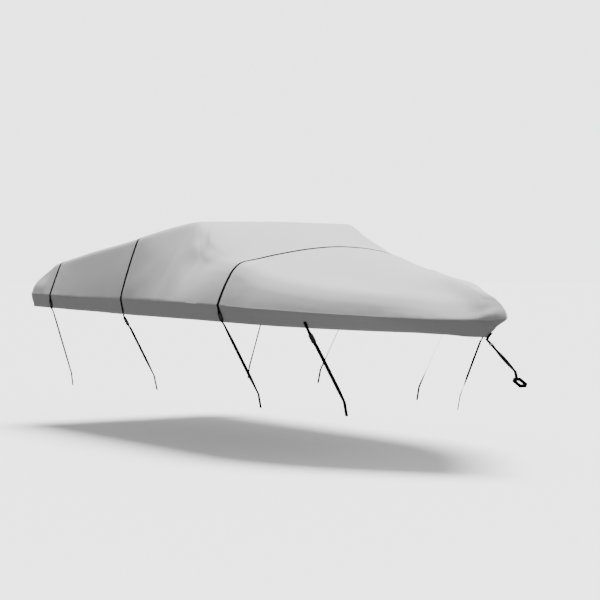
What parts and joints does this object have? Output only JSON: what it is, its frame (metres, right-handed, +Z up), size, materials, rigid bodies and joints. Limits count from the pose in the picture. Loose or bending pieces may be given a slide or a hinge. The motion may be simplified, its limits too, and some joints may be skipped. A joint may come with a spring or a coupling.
{
  "type": "boat cover",
  "caption": "Fitted polyester boat cover drawn tight, with webbing over the top, tie-down straps with side-release buckles, and a bow strap with a band.",
  "frame": {"origin": "underside of the cover at its highest ridge, on the middle plane, where a support meets it", "axes": "+X towards the bow, +Y to port, +Z up"},
  "size_m": [5.3814, 2.1594, 1.3845],
  "materials": {
    "cloth": "matt coated polyester",
    "webbing": "woven webbing",
    "buckle": "moulded",
    "slide": "plated"
  },
  "bodies": {
    "root": {"cover": "cloth", "over_strap_aft": "webbing", "over_strap_mid": "webbing", "over_strap_fore": "webbing", "strap_tab_quarter_port": "webbing", "strap_tab_quarter_starboard": "webbing", "tie_down_aft_port": "webbing", "tie_down_aft_starboard": "webbing", "tie_down_mid_port": "webbing", "tie_down_mid_starboard": "webbing", "tie_down_fore_port": "webbing", "tie_down_fore_starboard": "webbing", "tie_down_quarter_port": "webbing", "tie_down_quarter_starboard": "webbing", "buckle_socket_aft_port": "buckle", "buckle_socket_aft_starboard": "buckle", "buckle_socket_mid_port": "buckle", "buckle_socket_mid_starboard": "buckle", "buckle_socket_fore_port": "buckle", "buckle_socket_fore_starboard": "buckle", "buckle_socket_quarter_port": "buckle", "buckle_socket_quarter_starboard": "buckle", "buckle_plug_aft_port": "buckle", "buckle_plug_aft_starboard": "buckle", "buckle_plug_mid_port": "buckle", "buckle_plug_mid_starboard": "buckle", "buckle_plug_fore_port": "buckle", "buckle_plug_fore_starboard": "buckle", "buckle_plug_quarter_port": "buckle", "buckle_plug_quarter_starboard": "buckle", "bow_strap": "webbing", "bow_strap_tail": "webbing", "bow_slide": "slide", "bow_band": "webbing"}
  },
  "joints": []
}
